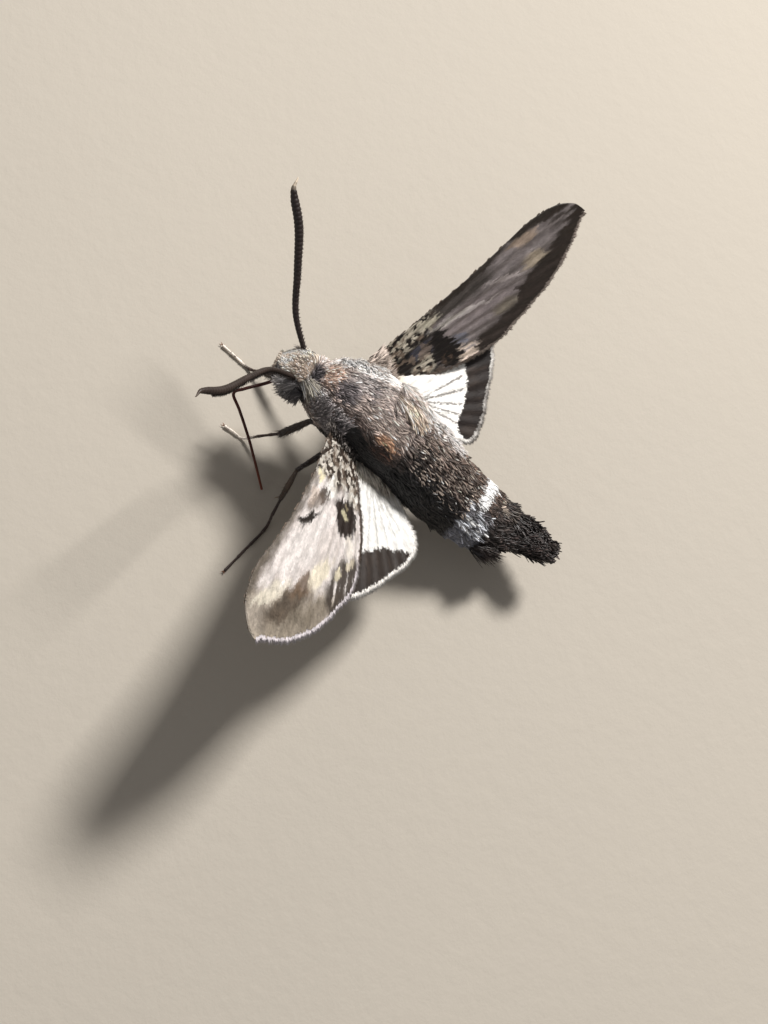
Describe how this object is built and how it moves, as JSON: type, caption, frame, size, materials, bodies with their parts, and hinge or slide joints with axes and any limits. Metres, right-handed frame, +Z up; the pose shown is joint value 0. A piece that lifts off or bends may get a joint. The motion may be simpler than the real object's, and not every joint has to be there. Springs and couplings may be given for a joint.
{
  "type": "hawk moth",
  "caption": "Life-size small hawk moth standing with wings half raised: clubbed feelers, furry body, banded abdomen with a tail tuft, mottled forewings, white dark-edged hindwings.",
  "frame": {"origin": "middle of the moth's outline seen from above, on the ground under its feet", "axes": "+Z up, the head points to -Y, the moth's left side is +X"},
  "size_m": [0.038, 0.0268, 0.0145],
  "materials": {
    "head_coat": "dense fine hair, cream to grey",
    "thorax_coat": "dense fine hair, grey with tan flanks",
    "abdomen_coat": "hair scales, dark brown with a white band",
    "forewing": "matt overlapping scales, mottled grey, brown and cream",
    "hindwing": "matt overlapping scales, white with a dark border",
    "antenna": "scaled and ringed horn",
    "leg": "scaled and hairy horn",
    "proboscis": "smooth ringed horn",
    "eye": "glossy faceted cornea"
  },
  "bodies": {
    "root": {"head": "head_coat", "eye_left": "eye", "eye_right": "eye", "palp_left": "head_coat", "palp_right": "head_coat", "proboscis_upper": "proboscis", "proboscis_lower": "proboscis", "antenna_left": "antenna", "antenna_right": "antenna", "collar": "thorax_coat", "thorax": "thorax_coat", "abdomen_1": "abdomen_coat", "abdomen_2": "abdomen_coat", "abdomen_3": "abdomen_coat", "abdomen_4": "abdomen_coat", "abdomen_5": "abdomen_coat", "abdomen_6": "abdomen_coat", "abdomen_7": "abdomen_coat", "tail_tuft": "abdomen_coat", "forewing_left": "forewing", "forewing_right": "forewing", "hindwing_left": "hindwing", "hindwing_right": "hindwing", "femur_fore_left": "leg", "tibia_fore_left": "leg", "tarsus_fore_left": "leg", "femur_fore_right": "leg", "tibia_fore_right": "leg", "tarsus_fore_right": "leg", "femur_mid_left": "leg", "tibia_mid_left": "leg", "tarsus_mid_left": "leg", "femur_mid_right": "leg", "tibia_mid_right": "leg", "tarsus_mid_right": "leg", "femur_hind_left": "leg", "tibia_hind_left": "leg", "tarsus_hind_left": "leg", "femur_hind_right": "leg", "tibia_hind_right": "leg", "tarsus_hind_right": "leg"}
  },
  "joints": []
}
